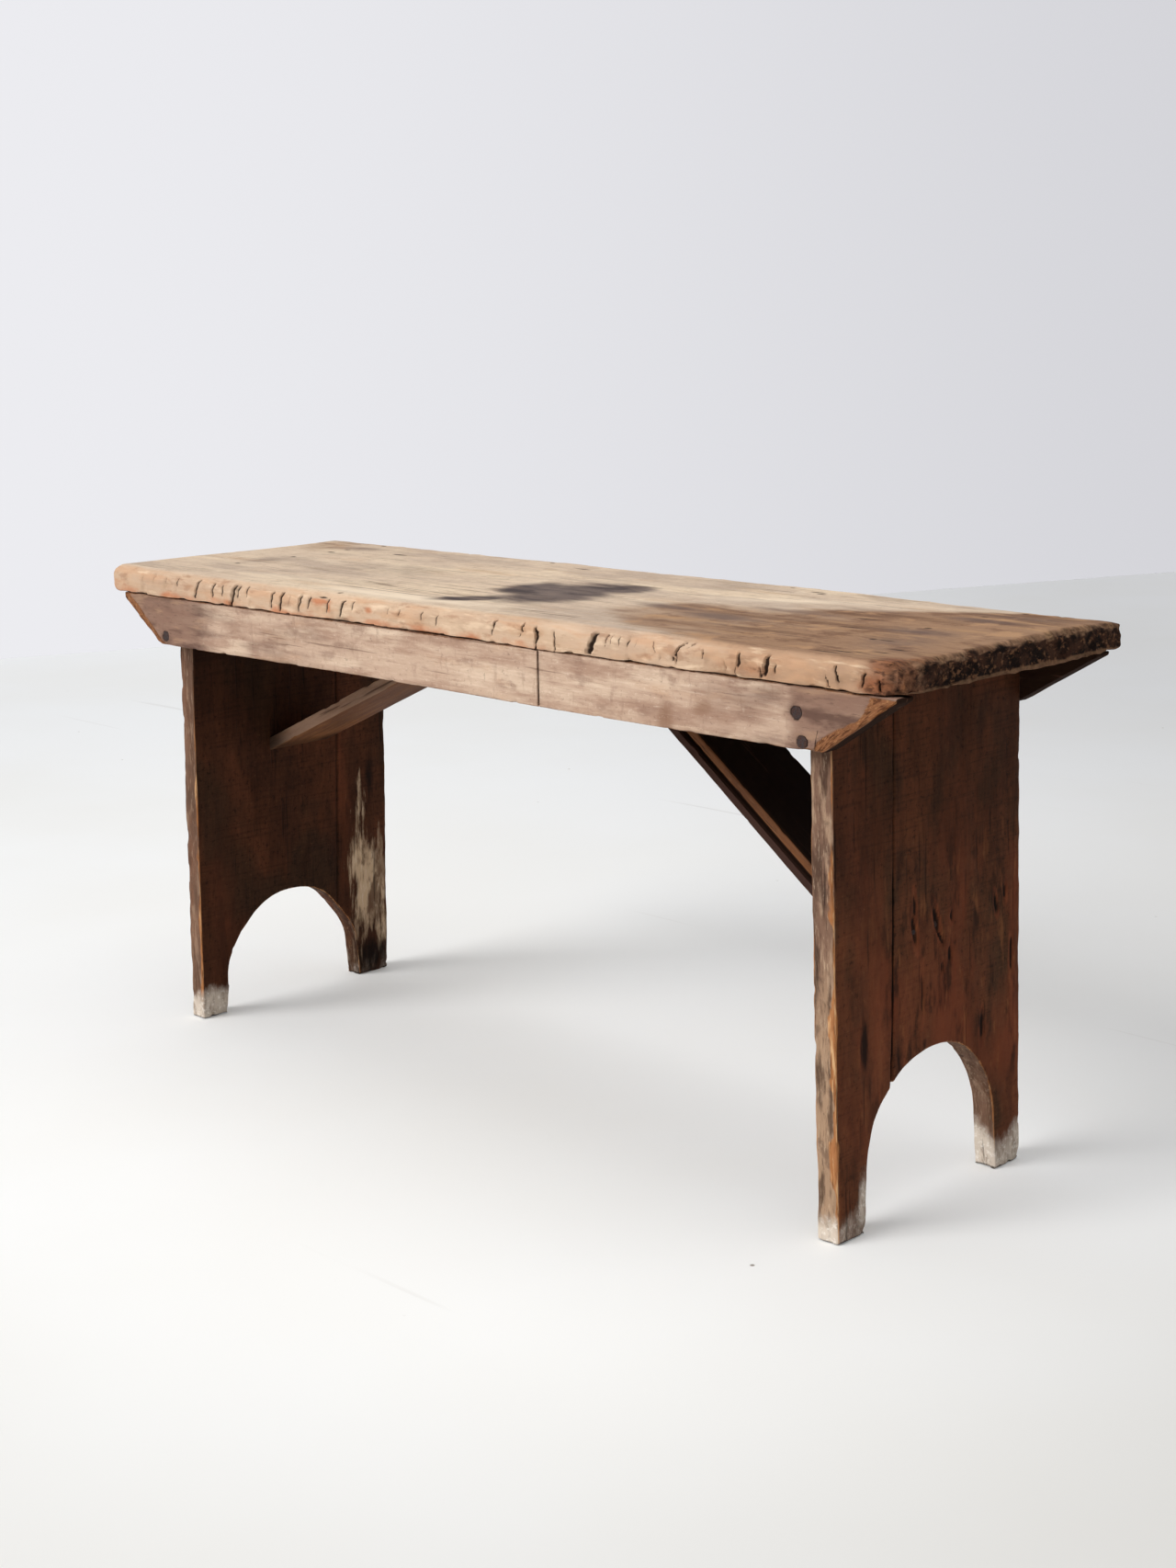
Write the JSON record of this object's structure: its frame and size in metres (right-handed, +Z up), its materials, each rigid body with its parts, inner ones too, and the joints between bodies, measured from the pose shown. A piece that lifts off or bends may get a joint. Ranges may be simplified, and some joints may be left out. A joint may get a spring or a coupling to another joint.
{
  "type": "bench",
  "caption": "Low farmhouse bench nailed up from boards: seat plank on two arched board legs, clipped aprons and slanting braces, in worn bare wood.",
  "frame": {"origin": "on the floor under the middle of the seat's outline", "axes": "+X along the seat, towards the end with the steeper brace; +Y towards the back apron; +Z up"},
  "size_m": [0.966, 0.29, 0.457],
  "materials": {
    "seat_wood": "worn bare pine, bleached and stained",
    "apron_wood": "worn grey-brown pine, rubbed smooth",
    "leg_wood": "dark red-brown weathered pine",
    "brace_wood": "old flooring offcut, bare",
    "nail_iron": "dark rusted iron"
  },
  "bodies": {
    "root": {"seat_plank": "seat_wood", "front_apron": "apron_wood", "back_apron": "apron_wood", "left_leg": "leg_wood", "right_leg": "leg_wood", "left_brace": "brace_wood", "right_brace": "brace_wood", "front_apron_nails": "nail_iron", "back_apron_nails": "nail_iron", "left_leg_nails": "nail_iron", "right_leg_nails": "nail_iron", "front_seat_nails": "nail_iron", "back_seat_nails": "nail_iron", "left_brace_nails": "nail_iron", "right_brace_nails": "nail_iron"}
  },
  "joints": []
}
